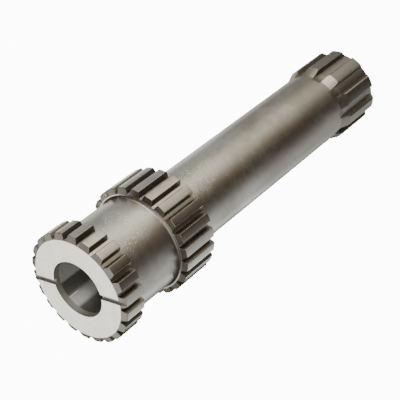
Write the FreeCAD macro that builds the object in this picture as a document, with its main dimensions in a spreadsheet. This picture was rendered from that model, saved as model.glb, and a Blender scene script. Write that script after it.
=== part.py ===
"""Rear drive shaft: one machined steel piece, turned, drilled and splined.

Millimetres. The shaft stands on its far end with its axis along Z: the origin is the
centre of the far end, and the bored and slotted face is on top. The face slot lies
along X, over the centres of two opposite teeth.
"""
import FreeCAD, Part
import enum
import math
import os
import Sketcher

SIZES = [
    # Turned steps, counted from the bored face unless the note says otherwise.
    ("overallLength", 228.6, "bored face to far end"),
    ("frontLandLength", 13.2, "first splined land"),
    ("secondLandStart", 43.5, "bored face to the front of the second land"),
    ("secondLandLength", 22.2, "second splined land"),
    ("neckRelief", 1.55, "neck between the lands, below the floor of the spaces"),
    ("neckTopRadius", 0.6, "fillet behind the front land"),
    ("shoulderFlat", 0.1, "flat ring left between the neck's foot fillet and the tooth chamfer"),
    ("shaftDiameter", 39.5, "long plain cylinder"),
    ("shaftCornerRadius", 1.0, "fillet behind the second land"),
    # Spline of the two lands.
    ("toothCount", 22, "teeth round each land"),
    ("tipDiameter", 58.4, "over the teeth"),
    ("toothHeight", 3.0, "tips above the floor of the spaces"),
    ("rimInset", 0.2, "foot of the tooth chamfer, below the floor of the spaces"),
    ("chamferHeight", 1.0, "tooth chamfer, along the axis"),
    ("tipBevel", 0.4, "broken edge at the back of each land"),
    ("spaceFloorWidth", 1.45, "between two teeth at the floor"),
    ("spaceTipWidth", 4.0, "between two teeth at the tips"),
    ("flankRadius", 11.0, "arc that stands for the involute flank"),
    # Bore and face slot.
    ("boreDiameter", 28.4, "blind bore"),
    ("boreDepth", 75.0, "bored face to the start of the drill point"),
    ("leadInLength", 3.0, "lead-in cone, along the axis"),
    ("leadInWidth", 0.5, "lead-in cone, across the axis"),
    ("drillPointAngle", 118.0, "full angle of the bore's bottom"),
    ("slotWidth", 2.6, "slot across the bored face"),
    ("slotDepth", 1.25, "slot across the bored face"),
    # Straight-sided spline of the far head, counted from the far end.
    ("headToothCount", 10, "teeth round the far head"),
    ("headTipDiameter", 44.2, "over the head's teeth"),
    ("headToothHeight", 2.9, "the head's tips above the floor of its spaces"),
    ("headToothWidth", 6.9, "parallel-sided teeth"),
    ("headTipChamfer", 0.5, "broken edges of the head's teeth"),
    ("headTurn", 1.3, "degrees from the slot to a head space, clockwise seen from the face"),
    ("headLength", 33.4, "far end to the foot of the ramps"),
    ("rampLength", 6.3, "slope up to the teeth, along the axis"),
    ("headCutLength", 29.3, "length of the spaces at full depth"),
    ("cutterRadius", 30.0, "disc cutter that leaves the run-out"),
    ("endChamferHeight", 2.8, "chamfer at the far end, along the axis"),
    ("endChamferDepth", 3.3, "chamfer at the far end, across the axis"),
    # Centre hole in the far end.
    ("centreConeDiameter", 8.5, "mouth of the centre hole"),
    ("centreConeAngle", 60.0, "full angle of the centre hole's cone"),
    ("centrePilotDiameter", 4.0, "pilot of the centre hole"),
    ("centrePilotDepth", 9.0, "far end to the bottom of the pilot"),
    # How far each cut runs past the metal.
    ("overrun", 1.0, "clear travel of a cutter outside the metal"),
]

# Heights above the far end, as formulas of the sheet.
FACE = "Sizes.overallLength"
NECK_TOP = "(Sizes.overallLength - Sizes.frontLandLength)"
NECK_FOOT = "(Sizes.overallLength - Sizes.secondLandStart)"
SHAFT_TOP = "(Sizes.overallLength - Sizes.secondLandStart - Sizes.secondLandLength)"
RAMP_FOOT = "Sizes.headLength"
RAMP_TOP = "(Sizes.headLength - Sizes.rampLength)"

# Radii, as formulas of the sheet.
TIP_RADIUS = "(Sizes.tipDiameter / 2)"
FLOOR_RADIUS = "(Sizes.tipDiameter / 2 - Sizes.toothHeight)"
RIM_RADIUS = "(Sizes.tipDiameter / 2 - Sizes.toothHeight - Sizes.rimInset)"
NECK_RADIUS = "(Sizes.tipDiameter / 2 - Sizes.toothHeight - Sizes.neckRelief)"
SHAFT_RADIUS = "(Sizes.shaftDiameter / 2)"
BORE_RADIUS = "(Sizes.boreDiameter / 2)"
HEAD_TIP_RADIUS = "(Sizes.headTipDiameter / 2)"
HEAD_FLOOR_RADIUS = "(Sizes.headTipDiameter / 2 - Sizes.headToothHeight)"

# The fillet at the neck's foot is as large as the shoulder in front of the teeth allows.
NECK_FOOT_RADIUS = "Sizes.neckRelief - Sizes.rimInset - Sizes.shoulderFlat"

# The head's spaces are not timed to the slot.
HEAD_TURN = "-Sizes.headTurn"

# Flat side of a head tooth, from the floor to the chamfer of its tip.
HEAD_SIDE = (
    f"sqrt({HEAD_TIP_RADIUS} ^ 2 - (Sizes.headToothWidth / 2) ^ 2)"
    f" - sqrt({HEAD_FLOOR_RADIUS} ^ 2 - (Sizes.headToothWidth / 2) ^ 2)"
    " - Sizes.headTipChamfer"
)


# Numbers that a sketch gives to the points of a line or arc, and to its own axes and origin.
Place = enum.IntEnum("Place", "START END CENTRE")
Axis = enum.IntEnum("Axis", "VERTICAL HORIZONTAL", start=-2)
ORIGIN = (Axis.HORIZONTAL, Place.START)


def make_sheet(document):
    """Keep every driving size in a sheet, one named cell for each."""
    sheet = document.addObject("Spreadsheet::Sheet", "Sizes")
    for row, (name, value, note) in enumerate(SIZES, start=1):
        sheet.set(f"A{row}", name)
        sheet.set(f"B{row}", str(value))
        sheet.set(f"C{row}", note)
        sheet.setAlias(f"B{row}", name)
    document.recompute()
    return sheet


def origin_feature(body, role):
    """One of the body's own base planes or axes."""
    return next(item for item in body.Origin.OriginFeatures if item.Role == role)


def new_sketch(body, name, plane, height=None, turn=None):
    """A sketch on a base plane, raised to a height and turned about the axis on request."""
    sketch = body.newObject("Sketcher::SketchObject", name)
    sketch.AttachmentSupport = [(origin_feature(body, plane), "")]
    sketch.MapMode = "FlatFace"
    if height:
        sketch.setExpression("AttachmentOffset.Base.z", height)
    if turn:
        sketch.setExpression("AttachmentOffset.Rotation.Angle", turn)
    return sketch


def hold(sketch, kind, *places, formula):
    """Add one dimension to a sketch and tie it to the sheet; an angle's formula is in degrees."""
    value = float(sketch.evalExpression(formula))
    if kind == "Angle":
        value = math.radians(value)
    index = sketch.addConstraint(Sketcher.Constraint(kind, *places, value))
    sketch.setExpression(f"Constraints[{index}]", formula)


def tie(sketch, kind, *places):
    """Add one constraint that has no size."""
    sketch.addConstraint(Sketcher.Constraint(kind, *places))


def join_in_ring(sketch, pieces):
    """Join lines and arcs end to start into one closed loop."""
    for piece, following in zip(pieces, pieces[1:] + pieces[:1]):
        tie(sketch, "Coincident", piece, Place.END, following, Place.START)


def add_line(sketch, here, there, construction=False):
    """Draw one straight line and return its number."""
    return sketch.addGeometry(Part.LineSegment(here, there), construction)


def mirrored(point):
    """The same point on the other side of the sketch's X axis."""
    return FreeCAD.Vector(point.x, -point.y, 0)


def direction(angle):
    """Unit vector at an angle from the sketch's X axis."""
    return FreeCAD.Vector(math.cos(angle), math.sin(angle), 0)


def draw_outline(sketch, corners):
    """A closed outline of straight lines, each corner held by its two formulas."""
    points = [
        FreeCAD.Vector(sketch.evalExpression(across), sketch.evalExpression(along), 0)
        for across, along in corners
    ]
    lines = [
        add_line(sketch, here, there) for here, there in zip(points, points[1:] + points[:1])
    ]
    join_in_ring(sketch, lines)
    for line, (across, along) in zip(lines, corners):
        if across == "0":
            tie(sketch, "PointOnObject", line, Place.START, Axis.VERTICAL)
        else:
            hold(sketch, "DistanceX", *ORIGIN, line, Place.START, formula=across)
        if along == "0":
            tie(sketch, "PointOnObject", line, Place.START, Axis.HORIZONTAL)
        else:
            hold(sketch, "DistanceY", *ORIGIN, line, Place.START, formula=along)


def turn_blank(body):
    """Turn the whole outside: far head, ramp, shaft, second land, neck and front land."""
    sketch = new_sketch(body, "BlankProfile", "XZ_Plane")
    bevelled_tip = f"{TIP_RADIUS} - Sizes.tipBevel"
    draw_outline(sketch, [
        ("0", "0"),
        (f"{HEAD_TIP_RADIUS} - Sizes.endChamferDepth", "0"),
        (HEAD_TIP_RADIUS, "Sizes.endChamferHeight"),
        (HEAD_TIP_RADIUS, RAMP_TOP),
        (SHAFT_RADIUS, RAMP_FOOT),
        (SHAFT_RADIUS, SHAFT_TOP),
        (bevelled_tip, SHAFT_TOP),
        (TIP_RADIUS, f"{SHAFT_TOP} + Sizes.tipBevel"),
        (TIP_RADIUS, f"{NECK_FOOT} - Sizes.chamferHeight"),
        (RIM_RADIUS, NECK_FOOT),
        (NECK_RADIUS, NECK_FOOT),
        (NECK_RADIUS, NECK_TOP),
        (bevelled_tip, NECK_TOP),
        (TIP_RADIUS, f"{NECK_TOP} + Sizes.tipBevel"),
        (TIP_RADIUS, f"{FACE} - Sizes.chamferHeight"),
        (RIM_RADIUS, FACE),
        ("0", FACE),
    ])
    blank = body.newObject("PartDesign::Revolution", "Blank")
    blank.Profile = sketch
    blank.ReferenceAxis = (sketch, ["V_Axis"])
    blank.Angle = 360
    return blank


def round_corner(body, name, corner_radius, corner_height, fillet_radius):
    """Fillet the ring-shaped inner corner that lies at the given radius and height."""
    body.Document.recompute()
    base = body.Tip
    radius = body.evalExpression(corner_radius)
    height = body.evalExpression(corner_height)
    names = []
    for number, edge in enumerate(base.Shape.Edges, start=1):
        if not isinstance(edge.Curve, Part.Circle):
            continue
        same_radius = math.isclose(edge.Curve.Radius, radius, abs_tol=1e-6)
        same_height = math.isclose(edge.Curve.Center.z, height, abs_tol=1e-6)
        if same_radius and same_height:
            names.append(f"Edge{number}")
    fillet = body.newObject("PartDesign::Fillet", name)
    fillet.Base = (base, names)
    fillet.setExpression("Radius", fillet_radius)
    return fillet


def drill_bore(body):
    """Drill the blind bore from the top face and open its mouth with a lead-in cone."""
    sketch = new_sketch(body, "BoreProfile", "XZ_Plane")
    bottom = f"{FACE} - Sizes.boreDepth"
    point = f"{BORE_RADIUS} / tan(Sizes.drillPointAngle / 2 * 1 deg)"
    draw_outline(sketch, [
        ("0", f"{bottom} - {point}"),
        (BORE_RADIUS, bottom),
        (BORE_RADIUS, f"{FACE} - Sizes.leadInLength"),
        (f"{BORE_RADIUS} + Sizes.leadInWidth", FACE),
        ("0", FACE),
    ])
    groove = body.newObject("PartDesign::Groove", "Bore")
    groove.Profile = sketch
    groove.ReferenceAxis = (sketch, ["V_Axis"])
    groove.Angle = 360
    return groove


def drill_centre_hole(body):
    """Centre hole in the far end: a pilot and a cone for turning between centres."""
    sketch = new_sketch(body, "CentreHoleProfile", "XZ_Plane")
    mouth = "Sizes.centreConeDiameter / 2"
    pilot = "Sizes.centrePilotDiameter / 2"
    cone_height = f"({mouth} - {pilot}) / tan(Sizes.centreConeAngle / 2 * 1 deg)"
    draw_outline(sketch, [
        ("0", "0"),
        (mouth, "0"),
        (pilot, cone_height),
        (pilot, "Sizes.centrePilotDepth"),
        ("0", f"Sizes.centrePilotDepth + {pilot} / tan(Sizes.drillPointAngle / 2 * 1 deg)"),
    ])
    groove = body.newObject("PartDesign::Groove", "CentreHole")
    groove.Profile = sketch
    groove.ReferenceAxis = (sketch, ["V_Axis"])
    groove.Angle = 360
    return groove


def draw_land_space(sketch):
    """One space of the land spline, about the sketch's own X axis.

    The floor is an arc of the root circle. Each flank is one arc, bulging into the
    space like an involute, from the floor's corner through a point on the tip circle.
    """
    size = sketch.Document.Sizes
    tip = size.tipDiameter / 2
    root = tip - size.toothHeight
    half_floor = size.spaceFloorWidth / 2
    half_tip = size.spaceTipWidth / 2
    flank = size.flankRadius
    outside = tip + size.overrun

    low = FreeCAD.Vector(math.sqrt(root ** 2 - half_floor ** 2), half_floor, 0)
    high = FreeCAD.Vector(math.sqrt(tip ** 2 - half_tip ** 2), half_tip, 0)
    chord = high - low
    across = FreeCAD.Vector(-chord.y, chord.x, 0).normalize()
    sag = math.sqrt(flank ** 2 - (chord.Length / 2) ** 2)
    middle = (low + high) * 0.5 + across * sag
    begin = math.atan2(low.y - middle.y, low.x - middle.x)
    finish = -math.acos((outside - middle.x) / flank)
    half_angle = math.asin(half_floor / root)

    up = FreeCAD.Vector(0, 0, 1)
    floor_circle = Part.Circle(FreeCAD.Vector(), up, root)
    upper_circle = Part.Circle(middle, up, flank)
    lower_circle = Part.Circle(mirrored(middle), up, flank)
    floor = sketch.addGeometry(Part.ArcOfCircle(floor_circle, -half_angle, half_angle), False)
    upper = sketch.addGeometry(Part.ArcOfCircle(upper_circle, begin, finish), False)
    open_end = middle + direction(finish) * flank
    mouth = add_line(sketch, open_end, mirrored(open_end))
    lower = sketch.addGeometry(Part.ArcOfCircle(lower_circle, -finish, -begin), False)
    tip_point = sketch.addGeometry(Part.Point(high), True)
    mirror_point = sketch.addGeometry(Part.Point(mirrored(high)), True)

    tie(sketch, "Coincident", floor, Place.CENTRE, *ORIGIN)
    join_in_ring(sketch, [floor, upper, mouth, lower])
    hold(sketch, "Radius", floor, formula=FLOOR_RADIUS)
    hold(sketch, "Radius", upper, formula="Sizes.flankRadius")
    tie(sketch, "Equal", upper, lower)
    tie(sketch, "Vertical", floor, Place.START, floor, Place.END)
    hold(sketch, "DistanceY", floor, Place.START, floor, Place.END, formula="Sizes.spaceFloorWidth")
    hold(sketch, "Distance", *ORIGIN, tip_point, Place.START, formula=TIP_RADIUS)
    hold(sketch, "DistanceY", *ORIGIN, tip_point, Place.START, formula="Sizes.spaceTipWidth / 2")
    tie(sketch, "Symmetric", tip_point, Place.START, mirror_point, Place.START, Axis.HORIZONTAL)
    tie(sketch, "PointOnObject", tip_point, Place.START, upper)
    tie(sketch, "PointOnObject", mirror_point, Place.START, lower)
    hold(sketch, "DistanceX", *ORIGIN, mouth, Place.START, formula=f"{TIP_RADIUS} + Sizes.overrun")
    tie(sketch, "Vertical", mouth)


def cut_land_spline(body):
    """Cut both lands in one pass, from the bored face to just behind the second land."""
    sketch = new_sketch(body, "LandSpace", "XY_Plane", FACE, "180 / Sizes.toothCount")
    draw_land_space(sketch)
    pocket = body.newObject("PartDesign::Pocket", "LandSpaceCut")
    pocket.Profile = sketch
    pocket.setExpression(
        "Length", "Sizes.secondLandStart + Sizes.secondLandLength + Sizes.overrun")
    return pocket, repeat_round(body, "LandSpline", [pocket], "Sizes.toothCount")


def draw_head_space(sketch):
    """One space of the head, about the sketch's own X axis.

    It runs between two parallel-sided teeth and opens out at their chamfered tips.
    """
    size = sketch.Document.Sizes
    tip = size.headTipDiameter / 2
    half_width = size.headToothWidth / 2
    half_pitch = math.pi / size.headToothCount
    side = direction(half_pitch)
    foot = math.sqrt((tip - size.headToothHeight) ** 2 - half_width ** 2)
    reach = math.sqrt(tip ** 2 - half_width ** 2) - size.headTipChamfer
    inward = FreeCAD.Vector(side.y, -side.x, 0) * half_width
    low = side * foot + inward
    high = side * reach + inward
    slope = direction(half_pitch + math.pi / 4)
    outside = tip + size.overrun
    open_end = high + slope * ((outside - high.x) / slope.x)
    half_angle = math.atan2(low.y, low.x)
    floor_circle = Part.Circle(FreeCAD.Vector(), FreeCAD.Vector(0, 0, 1), low.Length)

    floor = sketch.addGeometry(Part.ArcOfCircle(floor_circle, -half_angle, half_angle), False)
    upper = add_line(sketch, low, high)
    upper_chamfer = add_line(sketch, high, open_end)
    mouth = add_line(sketch, open_end, mirrored(open_end))
    lower_chamfer = add_line(sketch, mirrored(open_end), mirrored(high))
    lower = add_line(sketch, mirrored(high), mirrored(low))

    tie(sketch, "Coincident", floor, Place.CENTRE, *ORIGIN)
    join_in_ring(sketch, [floor, upper, upper_chamfer, mouth, lower_chamfer, lower])
    hold(sketch, "Radius", floor, formula=HEAD_FLOOR_RADIUS)
    tie(sketch, "Vertical", floor, Place.START, floor, Place.END)
    hold(sketch, "Angle", upper, formula="180 / Sizes.headToothCount")
    hold(sketch, "Distance", *ORIGIN, upper, formula="Sizes.headToothWidth / 2")
    hold(sketch, "Distance", upper, formula=HEAD_SIDE)
    hold(sketch, "Angle", upper_chamfer, formula="180 / Sizes.headToothCount + 45")
    hold(sketch, "DistanceX", *ORIGIN, mouth, Place.START,
         formula=f"{HEAD_TIP_RADIUS} + Sizes.overrun")
    tie(sketch, "Symmetric", mouth, Place.START, mouth, Place.END, Axis.HORIZONTAL)
    tie(sketch, "Symmetric", upper, Place.END, lower, Place.START, Axis.HORIZONTAL)
    return mouth


def cut_head_spline(body):
    """Cut the head's spaces from the far end, with the disc cutter's run-out above them."""
    sketch = new_sketch(body, "HeadSpace", "XY_Plane", "Sizes.headCutLength", HEAD_TURN)
    draw_head_space(sketch)
    pocket = body.newObject("PartDesign::Pocket", "HeadSpaceCut")
    pocket.Profile = sketch
    pocket.Type = "ThroughAll"

    swept = new_sketch(body, "HeadRunOutSection", "XY_Plane", "Sizes.headCutLength", HEAD_TURN)
    mouth = draw_head_space(swept)
    axis_place = f"{HEAD_FLOOR_RADIUS} + Sizes.cutterRadius"
    place = FreeCAD.Vector(swept.evalExpression(axis_place), 1, 0)
    cutter_axis = add_line(swept, place, mirrored(place), construction=True)
    hold(swept, "DistanceX", *ORIGIN, cutter_axis, Place.START, formula=axis_place)
    tie(swept, "Symmetric", cutter_axis, Place.START, cutter_axis, Place.END, Axis.HORIZONTAL)
    tie(swept, "Horizontal", cutter_axis, Place.START, mouth, Place.START)
    run_out = body.newObject("PartDesign::Groove", "HeadRunOut")
    run_out.Profile = swept
    run_out.ReferenceAxis = (swept, ["Axis0"])
    run_out.Angle = 25
    run_out.Reversed = True
    pattern = repeat_round(body, "HeadSpline", [pocket, run_out], "Sizes.headToothCount")
    return pocket, run_out, pattern


def cut_face_slot(body):
    """Mill the narrow slot across the bored face on a diameter."""
    sketch = new_sketch(body, "FaceSlotOutline", "XY_Plane", FACE)
    reach = f"({TIP_RADIUS} + Sizes.overrun)"
    half = "Sizes.slotWidth / 2"
    draw_outline(sketch, [
        (f"-{reach}", f"-{half}"),
        (reach, f"-{half}"),
        (reach, half),
        (f"-{reach}", half),
    ])
    pocket = body.newObject("PartDesign::Pocket", "FaceSlot")
    pocket.Profile = sketch
    pocket.setExpression("Length", "Sizes.slotDepth")
    return pocket


def repeat_round(body, name, features, count):
    """Repeat features evenly round the shaft's axis."""
    pattern = body.newObject("PartDesign::PolarPattern", name)
    pattern.Originals = features
    pattern.Axis = (origin_feature(body, "Z_Axis"), [""])
    pattern.Angle = 360
    pattern.setExpression("Occurrences", count)
    body.Tip = pattern
    return pattern


def check(document, body, cuts):
    """Stop if a feature failed, a cut took nothing away or the solid is not sound."""
    document.recompute()
    for item in document.Objects:
        if "Invalid" in item.State or "Error" in item.State:
            raise RuntimeError(f"{item.Name} failed: {item.State}")
    solids = [item for item in body.Group if item.isDerivedFrom("PartDesign::Feature")]
    for before, after in zip(solids, solids[1:]):
        if after in cuts and after.Shape.Volume >= before.Shape.Volume:
            raise RuntimeError(f"{after.Name} cut nothing")
    shape = body.Shape
    if shape.isNull() or not shape.isValid() or len(shape.Solids) != 1:
        raise RuntimeError(f"{body.Label} is not one sound solid")


document = FreeCAD.newDocument("RearDriveShaft")
make_sheet(document)
drive_shaft = document.addObject("PartDesign::Body", "DriveShaft")
drive_shaft.Label = "drive_shaft"

turn_blank(drive_shaft)
round_corner(drive_shaft, "NeckTop", NECK_RADIUS, NECK_TOP, "Sizes.neckTopRadius")
round_corner(drive_shaft, "NeckFoot", NECK_RADIUS, NECK_FOOT, NECK_FOOT_RADIUS)
round_corner(drive_shaft, "ShaftCorner", SHAFT_RADIUS, SHAFT_TOP, "Sizes.shaftCornerRadius")
cuts = [
    drill_bore(drive_shaft),
    drill_centre_hole(drive_shaft),
    *cut_land_spline(drive_shaft),
    *cut_head_spline(drive_shaft),
    cut_face_slot(drive_shaft),
]
check(document, drive_shaft, cuts)

os.makedirs("parts", exist_ok=True)
drive_shaft.Shape.exportStep(f"parts/{drive_shaft.Label}.step")
print(f"{drive_shaft.Label}: {drive_shaft.Shape.Volume / 1000:.1f} cm3")
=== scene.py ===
"""Rear drive shaft: one machined steel piece, standing on its far end in a light tent.

Lengths are in millimetres until the finished mesh is scaled to metres. Heights are
counted from the far end, and angles from X, over the centre of a slotted tooth.
"""
import bpy
import bmesh
import math
from mathutils import Matrix, Vector


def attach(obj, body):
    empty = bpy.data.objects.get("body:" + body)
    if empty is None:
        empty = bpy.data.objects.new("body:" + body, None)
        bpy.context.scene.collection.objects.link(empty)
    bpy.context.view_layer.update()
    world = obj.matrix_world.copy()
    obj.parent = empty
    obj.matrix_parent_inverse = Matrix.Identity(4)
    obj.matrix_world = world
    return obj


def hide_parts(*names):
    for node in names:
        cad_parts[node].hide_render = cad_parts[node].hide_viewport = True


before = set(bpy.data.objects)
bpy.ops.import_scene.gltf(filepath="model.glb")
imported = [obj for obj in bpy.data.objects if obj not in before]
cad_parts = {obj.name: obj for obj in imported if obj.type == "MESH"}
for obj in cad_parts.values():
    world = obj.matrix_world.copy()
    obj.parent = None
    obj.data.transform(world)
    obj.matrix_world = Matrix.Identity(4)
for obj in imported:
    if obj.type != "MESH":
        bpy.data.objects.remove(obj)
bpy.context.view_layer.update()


# THE CAMERA
# A long lens, rolled so that the standing shaft lies from lower left to upper right.
# The photograph's own view: a little to the side of the bored face and above it.
lens = bpy.data.cameras.new("long_lens")
lens.lens = 104.6
lens.clip_start = 0.05
lens.clip_end = 20
camera = bpy.data.objects.new("camera", lens)
camera.location = (-0.3544, -0.2787, 0.5132)
camera.rotation_euler = (math.radians(-36.49), math.radians(37.37), math.radians(167.82))
bpy.context.collection.objects.link(camera)
bpy.context.scene.camera = camera


# THE SHAFT
# One bar of steel: turned and ground outside, bored and slotted at the front, with 22 hobbed
# teeth on two lands and ten milled teeth on the far head. The mesh is one closed skin: the
# outline of the lands is drawn once, and its ring is carried from step to step of the piece.
FACE = 228.6
NECK_TOP = FACE - 13.2
NECK_FOOT = FACE - 43.5
SHAFT_TOP = FACE - 65.7

BORE = 14.2
BORE_MOUTH = 14.7
LEAD_IN = 3.0
BORE_DEPTH = 75.0
DRILL_HALF_ANGLE = math.radians(59)
SLOT_HALF = 1.3
SLOT_FLOOR = FACE - 1.25

LAND_TEETH = 22
LAND_TIP = 29.2
LAND_FLOOR = 26.2
FACE_RIM = 26.0
NECK = 24.65
SHAFT = 19.75
BACK_BEVEL = 0.4
EDGE_BREAK = 0.12
NECK_TOP_FILLET = 0.6
NECK_FOOT_FILLET = 1.25
SHAFT_FILLET = 1.0

HEAD_TEETH = 10
HEAD_TIP = 22.1
HEAD_FLOOR = 19.2
HALF_TOOTH = 3.45
TIP_BREAK = 0.5
HEAD_TURN = math.radians(-1.3)
RAMP_FOOT = 33.4
RAMP_TOP = 27.1
CUT_END = 29.3
CUTTER = 30.0
END_CHAMFER = (2.8, 3.3)
CENTRE_MOUTH = 4.25
CENTRE_PILOT = 2.0
CENTRE_DEPTH = 9.0

TIP_STEPS, FLANK_STEPS, FLOOR_STEPS = 4, 4, 2
AROUND = 2 * LAND_TEETH * (TIP_STEPS + FLANK_STEPS + FLOOR_STEPS)
HEAD_STEPS = AROUND // (2 * HEAD_TEETH)
SPACE_STEPS = 9


def polar(reach, angle, height=0.0):
    return Vector((reach * math.cos(angle), reach * math.sin(angle), height))


def half_tooth_outline():
    """From the middle of a land tooth, down its curved flank, to the middle of the space."""
    half_pitch = math.pi / LAND_TEETH
    half_floor, half_mouth, flank = 0.725, 2.0, 11.0
    space = Matrix.Rotation(half_pitch, 3, "Z")
    foot = Vector((math.sqrt(LAND_FLOOR ** 2 - half_floor ** 2), -half_floor, 0))
    brow = Vector((math.sqrt(LAND_TIP ** 2 - half_mouth ** 2), -half_mouth, 0))
    chord = foot - brow
    across = Vector((-chord.y, chord.x, 0)).normalized()
    centre = (foot + brow) / 2 + across * math.sqrt(flank ** 2 - (chord.length / 2) ** 2)
    start = math.atan2(brow.y - centre.y, brow.x - centre.x)
    finish = math.atan2(foot.y - centre.y, foot.x - centre.x)
    edge_angle = half_pitch - math.asin(half_mouth / LAND_TIP)
    foot_angle = half_pitch - math.asin(half_floor / LAND_FLOOR)
    points = [polar(LAND_TIP, edge_angle * n / TIP_STEPS) for n in range(TIP_STEPS)]
    for n in range(FLANK_STEPS):
        points.append(space @ (centre + polar(flank, start + (finish - start) * n / FLANK_STEPS)))
    for n in range(FLOOR_STEPS + 1):
        points.append(polar(LAND_FLOOR, foot_angle + (half_pitch - foot_angle) * n / FLOOR_STEPS))
    return points


def once(items):
    """Each item once, in the order found."""
    return list(dict.fromkeys(items))


def edges_between(vertices):
    """The edges that run from one of these vertices to another."""
    inside = set(vertices)
    return once(edge for v in vertices for edge in v.link_edges if edge.other_vert(v) in inside)


def carry(ring, place):
    """Extrude the ring, and set each new point where place says for its number round it."""
    made = bmesh.ops.extrude_edge_only(skin, edges=ring)["geom"]
    fresh = [item for item in made if isinstance(item, bmesh.types.BMVert)]
    for vertex in fresh:
        vertex.co = place(vertex[number])
    return edges_between(fresh)


def fillet(ring, wall, top, radius, start, finish, steps=8):
    """Carry the ring round a fillet: wall is the cylinder's radius, top the arc's highest level."""
    for n in range(1, steps + 1):
        angle = math.radians(start + (finish - start) * n / steps)
        reach = wall + radius + radius * math.cos(angle)
        height = top - radius + radius * math.sin(angle)
        ring = carry(ring, lambda i: polar(reach, land_angle[i], height))
    return ring


skin = bmesh.new()
number = skin.verts.layers.int.new("number")
half = [skin.verts.new(point) for point in half_tooth_outline()]
for here, there in zip(half, half[1:]):
    skin.edges.new((here, there))
bmesh.ops.mirror(skin, geom=list(skin.verts) + list(skin.edges), axis="Y", merge_dist=1e-5)
bmesh.ops.spin(
    skin, geom=list(skin.verts) + list(skin.edges), axis=(0, 0, 1), cent=(0, 0, 0),
    angle=math.tau * (LAND_TEETH - 1) / LAND_TEETH, steps=LAND_TEETH - 1, use_duplicate=True)
bmesh.ops.remove_doubles(skin, verts=list(skin.verts), dist=1e-4)

outline = sorted(
    skin.verts, key=lambda v: round(math.atan2(v.co.y, v.co.x) % math.tau, 6) % 6.28318)
land_reach, land_angle = [], []
for i, vertex in enumerate(outline):
    vertex[number] = i
    land_reach.append(vertex.co.xy.length)
    land_angle.append(math.tau * (i > AROUND // 2) + math.atan2(vertex.co.y, vertex.co.x)
                      if i else 0.0)


def land_chamfer(i, top):
    """On the cone that chamfers the front ends of the teeth."""
    drop = (land_reach[i] - FACE_RIM) / (LAND_TIP - FACE_RIM)
    return polar(land_reach[i], land_angle[i], top - drop)


def land_side(ring, foot):
    """Down the teeth to the broken edge at the back of the land."""
    ring = carry(ring, lambda i: polar(land_reach[i], land_angle[i], foot + BACK_BEVEL))
    return carry(ring, lambda i: polar(
        min(land_reach[i], LAND_TIP - BACK_BEVEL), land_angle[i], foot))


def circle(ring, reach, height):
    return carry(ring, lambda i: polar(reach, land_angle[i], height))


for vertex in outline:
    vertex.co = land_chamfer(vertex[number], FACE)
front = edges_between(outline)

# Inwards: the flat face, the lead-in, the bore and its drilled bottom.
ring = circle(front, FACE_RIM, FACE)
ring = circle(ring, BORE_MOUTH, FACE)
ring = circle(ring, BORE, FACE - LEAD_IN)
ring = circle(ring, BORE, FACE - BORE_DEPTH)
ring = circle(ring, 0.0, FACE - BORE_DEPTH - BORE / math.tan(DRILL_HALF_ANGLE))

# Outwards and down: front land, neck, second land and the fillet behind it.
ring = land_side(front, NECK_TOP)
ring = circle(ring, NECK + NECK_TOP_FILLET, NECK_TOP)
ring = fillet(ring, NECK, NECK_TOP, NECK_TOP_FILLET, 90, 180)
ring = circle(ring, NECK, NECK_FOOT + NECK_FOOT_FILLET)
ring = fillet(ring, NECK, NECK_FOOT + 2 * NECK_FOOT_FILLET, NECK_FOOT_FILLET, 180, 270)
ring = circle(ring, FACE_RIM, NECK_FOOT)
ring = carry(ring, lambda i: land_chamfer(i, NECK_FOOT))
ring = land_side(ring, SHAFT_TOP)
ring = circle(ring, SHAFT + SHAFT_FILLET, SHAFT_TOP)
ring = fillet(ring, SHAFT, SHAFT_TOP, SHAFT_FILLET, 90, 180)


def head_surface(height):
    """Reach of the head's turned outside: the cylinder, the ramp, then the tips."""
    share = min(max((RAMP_FOOT - height) / (RAMP_FOOT - RAMP_TOP), 0.0), 1.0)
    return SHAFT + (HEAD_TIP - SHAFT) * share


def head_section(height):
    """Reach and angle of each point from the middle of a head space to the middle of a tooth.

    Above the end of the cut the disc cutter lifts the whole section away from the axis.
    """
    half_pitch = math.pi / HEAD_TEETH
    surface = head_surface(height)
    rise = max(height - CUT_END, 0.0)
    lift = CUTTER - math.sqrt(CUTTER ** 2 - rise ** 2)
    foot_angle = half_pitch - math.asin(HALF_TOOTH / HEAD_FLOOR)
    points = []
    for n in range(SPACE_STEPS + 1):
        point = polar(HEAD_FLOOR, foot_angle * n / SPACE_STEPS) + Vector((lift, 0, 0))
        points.append((min(point.length, surface), math.atan2(point.y, point.x)))
    corner = polar(HEAD_FLOOR, foot_angle) + Vector((lift, 0, 0))
    up = polar(1.0, half_pitch)
    along = corner.dot(up)
    brow_reach = math.sqrt(HEAD_TIP ** 2 - HALF_TOOTH ** 2) - TIP_BREAK
    brow = up * brow_reach + Vector((up.y, -up.x, 0)) * HALF_TOOTH
    climb = -along + math.sqrt(max(along ** 2 + surface ** 2 - corner.length_squared, 0.0))
    if surface > brow.length:
        edge = (up + Vector((-up.y, up.x, 0))).normalized()
        slope = brow.dot(edge)
        lip = brow + edge * (-slope + math.sqrt(slope ** 2 + surface ** 2 - brow.length_squared))
    else:
        brow = lip = corner + up * climb
    points.append((brow.length, math.atan2(brow.y, brow.x)))
    lip_angle = math.atan2(lip.y, lip.x)
    left = HEAD_STEPS - SPACE_STEPS - 2
    for n in range(left + 1):
        points.append((surface, lip_angle + (half_pitch - lip_angle) * n / left))
    return points


def head_point(i, section):
    """The point with this number, on one of the twenty half pitches of the head."""
    pitch, step = divmod(i, 2 * HEAD_STEPS)
    side = 1
    if step > HEAD_STEPS:
        pitch, step, side = pitch + 1, 2 * HEAD_STEPS - step, -1
    reach, angle = section[step]
    return reach, HEAD_TURN + pitch * math.tau / HEAD_TEETH + side * angle


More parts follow.
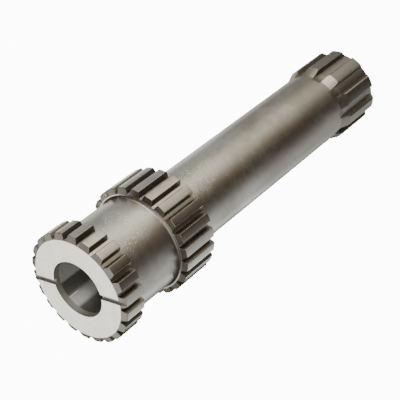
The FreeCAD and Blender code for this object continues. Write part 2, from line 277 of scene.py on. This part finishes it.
def head_level(ring, height):
    section = head_section(height)
    return carry(ring, lambda i: polar(*head_point(i, section), height))


# The plain cylinder, along which the points shift from the land's spacing to the head's.
run_out_top = CUT_END + math.sqrt(CUTTER ** 2 - (CUTTER + HEAD_FLOOR - SHAFT) ** 2)
first, last = SHAFT_TOP - SHAFT_FILLET, run_out_top + 1.5
for share in (0.01, 0.25, 0.5, 0.75, 1.0):
    height = first + (last - first) * share

    def between(i, share=share, height=height):
        aim = HEAD_TURN + i * math.tau / AROUND
        return polar(SHAFT, land_angle[i] + (aim - land_angle[i]) * share, height)

    ring = carry(ring, between)

# The head, from the run-outs of its spaces over the ramps to the far end and its centre hole.
for height in (run_out_top, 34.3, RAMP_FOOT, 32.4, 31.4, 30.4, CUT_END, 28.4, RAMP_TOP):
    ring = head_level(ring, height)
full = head_section(RAMP_TOP)
rim = HEAD_TIP - END_CHAMFER[1]


def end_chamfer(i):
    reach, angle = head_point(i, full)
    return polar(reach, angle, (reach - rim) * END_CHAMFER[0] / END_CHAMFER[1])


ring = carry(ring, end_chamfer)
centre_foot = (CENTRE_MOUTH - CENTRE_PILOT) / math.tan(math.radians(30))
centre_point = CENTRE_DEPTH + CENTRE_PILOT / math.tan(DRILL_HALF_ANGLE)
for reach, height in (
        (rim, 0.0), (CENTRE_MOUTH, 0.0), (CENTRE_PILOT, centre_foot),
        (CENTRE_PILOT, CENTRE_DEPTH), (0.0, centre_point)):
    ring = carry(ring, lambda i: polar(reach, head_point(i, full)[1], height))
bmesh.ops.remove_doubles(skin, verts=list(skin.verts), dist=1e-4)

# The slot across the face: the skin is cut at its sides and floor, opened and closed again.
bmesh.ops.bisect_plane(
    skin, geom=list(skin.verts) + list(skin.edges) + list(skin.faces), dist=1e-6,
    plane_co=(0, 0, SLOT_FLOOR), plane_no=(0, 0, 1))
for side in (-SLOT_HALF, SLOT_HALF):
    upper = [face for face in skin.faces if face.calc_center_median().z > SLOT_FLOOR]
    rims = once(edge for face in upper for edge in face.edges)
    corners = once(v for edge in rims for v in edge.verts)
    bmesh.ops.bisect_plane(
        skin, geom=upper + rims + corners, dist=1e-6, plane_co=(0, side, 0), plane_no=(0, 1, 0))
cleared = [
    face for face in skin.faces
    if face.calc_center_median().z > SLOT_FLOOR and abs(face.calc_center_median().y) < SLOT_HALF]
bmesh.ops.delete(skin, geom=cleared, context="FACES")
for way in (-1, 1):
    lip = [edge for edge in skin.edges
           if edge.is_boundary and all(v.co.x * way > 0 for v in edge.verts)]
    floor_lip = [e for e in lip if all(abs(v.co.z - SLOT_FLOOR) < 1e-4 for v in e.verts)]
    for side in (-SLOT_HALF, SLOT_HALF):
        wall_lip = [e for e in lip if all(abs(v.co.y - side) < 1e-4 for v in e.verts)]
        feet = once(v for e in wall_lip for v in e.verts if abs(v.co.z - SLOT_FLOOR) < 1e-4)
        corner = skin.edges.new(feet)
        floor_lip.append(corner)
        bmesh.ops.contextual_create(skin, geom=wall_lip + [corner])
    bmesh.ops.contextual_create(skin, geom=floor_lip)
bmesh.ops.recalc_face_normals(skin, faces=list(skin.faces))

# Crisp edges stay sharp, and so does the foot of the lead-in. Those of the land teeth are
# broken a little, as a deburring brush does.
broken = []
for edge in skin.edges:
    if len(edge.link_faces) != 2:
        continue
    low, high = sorted(v.co.z for v in edge.verts)
    reach = max(v.co.xy.length for v in edge.verts)
    angle = edge.calc_face_angle_signed(0.0)
    lead_in_foot = max(abs(low - FACE + LEAD_IN), abs(high - FACE + LEAD_IN)) < 1e-3
    crisp = abs(angle) > math.radians(12) or lead_in_foot
    outward = angle > math.radians(25)
    if outward and reach > LAND_FLOOR + 0.3 and low > SHAFT_TOP - 0.01:
        broken.append(edge)
    elif crisp:
        edge.smooth = False
bmesh.ops.bevel(
    skin, geom=broken, offset=EDGE_BREAK, offset_type="OFFSET", affect="EDGES", segments=2,
    profile=0.5, material=-1, clamp_overlap=False)
for face in skin.faces:
    face.smooth = True
bmesh.ops.scale(skin, verts=list(skin.verts), vec=(0.001, 0.001, 0.001))

mesh = bpy.data.meshes.new("steel_shaft")
skin.to_mesh(mesh)
skin.free()
shaft = bpy.data.objects.new("steel_shaft", mesh)
bpy.context.collection.objects.link(shaft)
shading = shaft.modifiers.new("even_shading", "WEIGHTED_NORMAL")
shading.keep_sharp = True
shading.mode = "FACE_AREA"
shading.thresh = 0.0
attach(shaft, "root")
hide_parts("drive_shaft")


class Flow:
    """A shader socket that takes plain arithmetic, one node for each step."""

    def __init__(self, tree, socket):
        self.tree = tree
        self.socket = socket

    def node(self, kind, settings=None, output=0, **inputs):
        """Any node: its settings first, then the values or links of its named inputs."""
        made = self.tree.nodes.new(kind)
        for name, value in (settings or {}).items():
            setattr(made, name, value)
        for name, value in inputs.items():
            name = name.replace("_", " ")
            socket = made.inputs[int(name[3:])] if name.startswith("at ") else made.inputs[name]
            if isinstance(value, Flow):
                self.tree.links.new(value.socket, socket)
            else:
                socket.default_value = value
        return Flow(self.tree, made.outputs[output])

    def math(self, operation, *values):
        inputs = {f"at_{n}": value for n, value in enumerate(values)}
        return self.node("ShaderNodeMath", {"operation": operation}, **inputs)

    def __add__(self, other):
        return self.math("ADD", self, other)

    def __radd__(self, other):
        return self.math("ADD", other, self)

    def __sub__(self, other):
        return self.math("SUBTRACT", self, other)

    def __rsub__(self, other):
        return self.math("SUBTRACT", other, self)

    def __mul__(self, other):
        return self.math("MULTIPLY", self, other)

    def __rmul__(self, other):
        return self.math("MULTIPLY", other, self)

    def __truediv__(self, other):
        return self.math("DIVIDE", self, other)

    def __pow__(self, other):
        return self.math("POWER", self, other)

    def step(self, low, high):
        """0 below low, 1 above high, and a smooth rise between."""
        return self.node(
            "ShaderNodeMapRange", {"interpolation_type": "SMOOTHSTEP"},
            Value=self, From_Min=low, From_Max=high)

    def vector(self, operation, other):
        return self.node("ShaderNodeVectorMath", {"operation": operation}, at_0=self, at_1=other)

    def blend(self, low, high):
        """Colour low where this is 0 and colour high where it is 1."""
        return self.node(
            "ShaderNodeMix", {"data_type": "RGBA"}, output=2, at_0=self, at_6=low, at_7=high)

    def split(self):
        parts = self.node("ShaderNodeSeparateXYZ", Vector=self).socket.node.outputs
        return [Flow(self.tree, part) for part in parts]

    def feed(self, shader, name):
        self.tree.links.new(self.socket, shader.inputs[name])

    def noise(self, scale, detail=2.0, roughness=0.5):
        return self.node("ShaderNodeTexNoise", Vector=self, Scale=scale, Detail=detail,
                         Roughness=roughness)


steel = bpy.data.materials.new("steel")
steel.use_nodes = True
shader = steel.node_tree.nodes["Principled BSDF"]
place = Flow(steel.node_tree, None).node("ShaderNodeTexCoord", output=3)
x, y, z = (part * 1000 for part in place.split())
reach = (x * x + y * y) ** 0.5
around = y.math("ARCTAN2", y, x) * math.degrees(1)

# Finishes by their place: the bore and the milled slot; and the flanks of the teeth, given painted
# shade, but for the front ends of the second land's teeth on one side.
bore = (1 - reach.step(BORE_MOUTH - 0.02, BORE_MOUTH + 0.02)) * z.step(FACE - 90, FACE - 89)
bore = bore * (1 - z.step(FACE - 0.06, FACE - 0.02))
slot = 1 - (y * y).step(SLOT_HALF ** 2 + 0.01, SLOT_HALF ** 2 + 0.06)
slot = slot * z.step(SLOT_FLOOR - 0.02, SLOT_FLOOR - 0.01) * (1 - z.step(FACE - 0.05, FACE - 0.02))
chamfer = FACE - (reach - FACE_RIM) / (LAND_TIP - FACE_RIM) - z
first_land = chamfer.step(0.03, 0.1) * z.step(NECK_TOP + 0.02, NECK_TOP + 0.1)
second_land = z.step(SHAFT_TOP + 0.02, SHAFT_TOP + 0.1)
second_land = second_land * (1 - z.step(NECK_FOOT + 0.02, NECK_FOOT + 0.06))
# Where the flanks are left without their painted shade: the lit front ends of the second land.
unshaded_flank_ends = around.step(-104, -92) * (1 - around.step(-40, -30))
unshaded_flank_ends = unshaded_flank_ends * z.step(NECK_FOOT - 1.0, NECK_FOOT - 0.8)
second_land = second_land * (1 - unshaded_flank_ends)
land_flank = reach.step(26.3, 26.45) * (1 - reach.step(29.0, 29.1)) * (first_land + second_land)
ramp = (RAMP_FOOT - z) * ((HEAD_TIP - SHAFT) / (RAMP_FOOT - RAMP_TOP)) + SHAFT
head_flank = reach.step(HEAD_FLOOR + 0.1, HEAD_FLOOR + 0.25) * (1 - reach.step(21.55, 21.65))
head_flank = head_flank * (ramp - reach).step(0.1, 0.2) * (1 - z.step(CUT_END, CUT_END + 0.6))
flank = land_flank + head_flank
# The neck, the cylinder and the head are satin. The ground face and tips are smoother.
satin = (1 - reach.step(NECK + 0.8, NECK + 1.2)) * (1 - bore)
satin = satin * (1 - z.step(FACE - 1.3, FACE - 1.2))

grain = place.noise(1700.0, 2.0, 0.6)
cloud = place.noise(220.0, 3.0, 0.55)
drift = place.vector("MULTIPLY", (1.0, 1.0, 0.5)).noise(55.0, 2.0, 0.5)
# Small nicks on one side, on the neck and the near cylinder: dents in the bump, with painted glints
# in their near-white colour.
nick_and_glint_side = around.step(-158, -132) * (1 - around.step(-104, -74)) * z.step(112, 150)
nick_and_glint_side = nick_and_glint_side * (1 - 0.9 * z.step(NECK_FOOT, NECK_FOOT + 1) * (1 - z.step(190, 199)))
patch = (place.noise(150.0, 2.0, 0.6) + 0.25 * nick_and_glint_side).step(0.58, 0.7) * nick_and_glint_side
nick_and_glint = place.noise(1300.0, 1.0, 0.5).step(0.58, 0.64) * patch * satin
mill_mark = y.math("SINE", y * 11.0) * 0.5 + 0.5

# Drifting tones, duller towards the head; brown stains along one side; painted shade in the fillet
# at the foot of the neck, on its shaded side; a dull head, flanks darkened by painted shade, and
# fine milling lines in the slot.
tone = 0.5 + (cloud - 0.5) * 0.7 + ((drift - 0.5) * 2.0 + 0.4 * (z.step(55, 130) - 0.7)) * satin
colour = tone.step(0.1, 0.9).blend((0.46, 0.435, 0.4, 1), (0.66, 0.65, 0.63, 1))
stain = around.step(-175, -155) * (1 - around.step(-145, -120))
stain = stain * z.step(50, 70) * (1 - z.step(FACE - 1.2, FACE - 1))
stain = stain * place.noise(210.0, 4.0, 0.7).step(0.3, 0.6) * 0.7
colour = stain.blend(colour, (0.56, 0.47, 0.4, 1))
# Painted shade: darker in the fillet at the foot of the neck, on its shaded side only.
fillet_shade = (1 - z.step(NECK_FOOT + 0.9, NECK_FOOT + 1.5)) * z.step(NECK_FOOT - 0.02, NECK_FOOT)
fillet_shade = fillet_shade * (1 - around.step(-160, -135) * (1 - around.step(90, 110)))
colour = (0.6 * fillet_shade).blend(colour, (0.2, 0.19, 0.17, 1))
head = 1 - z.step(RAMP_TOP - 0.6, RAMP_TOP)
colour = (0.6 * head).blend(colour, (0.31, 0.31, 0.295, 1))
# Painted glints: the nicks are given a near-white colour, partly non-metallic.
colour = nick_and_glint.blend(colour, (0.97, 0.96, 0.92, 1))
# Painted shade: the flanks of the teeth are darkened.
colour = flank.blend(colour, (0.21, 0.19, 0.165, 1))
colour = slot.blend(colour, mill_mark.blend((0.3, 0.3, 0.285, 1), (0.66, 0.66, 0.64, 1)))
# Painted light in the bore: dark bands of painted shadow along it, a narrow painted streak of
# reflected light near the mouth, and painted shade on the lead-in.
# Painted shadow: dark bands round part of the bore wall.
painted_bore_shadow = around.step(5, 13) * (1 - around.step(32, 48)) + around.step(60, 72)
# Painted reflection: a narrow bright streak along the wall near the mouth.
painted_bore_streak = around.step(38.5, 40) * (1 - around.step(41.5, 43)) * z.step(FACE - 11, FACE - 7)
wall = painted_bore_shadow.blend((0.7, 0.7, 0.66, 1), (0.16, 0.155, 0.14, 1))
wall = painted_bore_streak.blend(wall, (0.95, 0.95, 0.92, 1))
# Painted shade: the lead-in band is darker.
lead_in = z.step(FACE - LEAD_IN - 0.05, FACE - LEAD_IN + 0.05)
wall = lead_in.blend(wall, (0.36, 0.35, 0.32, 1))
colour = bore.blend(colour, wall)
colour.feed(shader, "Base Color")
rough = 0.28 + 0.08 * (cloud - 0.5) + 0.10 * satin + 0.16 * flank + 0.2 * slot + 0.22 * bore
rough.feed(shader, "Roughness")
relief = (grain - 0.5) * (0.25 + 0.75 * satin) * (1 - flank) + 4.0 * nick_and_glint
bump = relief.node("ShaderNodeBump", Strength=0.4, Distance=0.00003, Height=relief)
bump.feed(shader, "Normal")
metallic = 1 - 0.8 * bore - 0.5 * nick_and_glint - 0.3 * slot
metallic.feed(shader, "Metallic")
mesh.materials.append(steel)


# THE FLOOR
# A plain white sheet under the standing shaft, lit evenly from below as on a light table.
floor_mesh = bpy.data.meshes.new("floor")
sheet = bmesh.new()
bmesh.ops.create_grid(sheet, x_segments=1, y_segments=1, size=15)
sheet.to_mesh(floor_mesh)
sheet.free()
floor = bpy.data.objects.new("floor", floor_mesh)
bpy.context.collection.objects.link(floor)
floor.visible_glossy = False
floor.visible_diffuse = False
paper = bpy.data.materials.new("paper")
paper.use_nodes = True
sheet_shader = paper.node_tree.nodes["Principled BSDF"]
sheet_shader.inputs["Base Color"].default_value = (0.9, 0.9, 0.9, 1)
sheet_shader.inputs["Emission Color"].default_value = (1, 1, 1, 1)
sheet_shader.inputs["Emission Strength"].default_value = 12
floor_mesh.materials.append(paper)


# THE LIGHT TENT
# Soft lamps round a pale tent, each given by its compass angle and height above the horizon,
# its sharpness and its colour. The gap between two of them leaves the dark band on the steel.
LAMPS = (
    ("long window", -101, -12, 9.5, (3.6, 3.5, 2.85)),
    ("window edge", -42, -37, 46, (0.70, 0.74, 0.73)),
    ("side paper", -4, -38, 90, (2.7, 2.7, 2.5)),
    ("rim strip", 22, -36, 200, (5.0, 4.9, 4.3)),
    ("cool wall", 91, -37, 120, (2.6, 2.75, 2.65)),
    ("wall end", 127, -35, 12, (0.90, 0.92, 0.87)),
    ("front card", 38, 36, 26, (3.9, 3.9, 3.55)),
    ("roof", 76, 66, 14, (0.40, 0.38, 0.36)),
    ("ceiling", -160, 60, 10, (1.8, 1.8, 1.7)),
)
world = bpy.data.worlds.new("tent")
bpy.context.scene.world = world
world.use_nodes = True
sky = Flow(world.node_tree, None)
heading = sky.node("ShaderNodeTexCoord", output=0)
light = sky.node("ShaderNodeCombineXYZ", X=0.034, Y=0.021, Z=0.013)
for name, compass, height, sharpness, glow in LAMPS:
    compass, height = math.radians(compass), math.radians(height)
    centre = polar(math.cos(height), compass, math.sin(height))
    near = sky.node(
        "ShaderNodeVectorMath", {"operation": "DOT_PRODUCT"}, output=1, at_0=heading, at_1=centre)
    lamp = sky.math("EXPONENT", (near - 1) * sharpness)
    spread = sky.node(
        "ShaderNodeVectorMath", {"operation": "SCALE", "label": name}, at_0=glow, Scale=lamp)
    light = light.vector("ADD", spread)
# Seen past the edge of the sheet, the tent is as white as the sheet.
seen = sky.node("ShaderNodeLightPath")
white = seen.blend(light, (12, 12, 12, 1))
white.feed(sky.tree.nodes["Background"], "Color")

# A lamp with a narrow snout looks over the near rim into the bore.
snout = bpy.data.lights.new("bore_lamp", "SPOT")
snout.energy = 6
snout.spot_size = math.radians(1.7)
snout.spot_blend = 1.0
snout.shadow_soft_size = 0.006
bore_lamp = bpy.data.objects.new("bore_lamp", snout)
aim = polar(math.cos(math.radians(30)), math.radians(-122), math.sin(math.radians(30)))
bore_lamp.location = polar(BORE / 1000, math.radians(58), (FACE - 6) / 1000) + aim * 0.4
bore_lamp.rotation_euler = aim.to_track_quat("Z", "Y").to_euler()
bpy.context.collection.objects.link(bore_lamp)
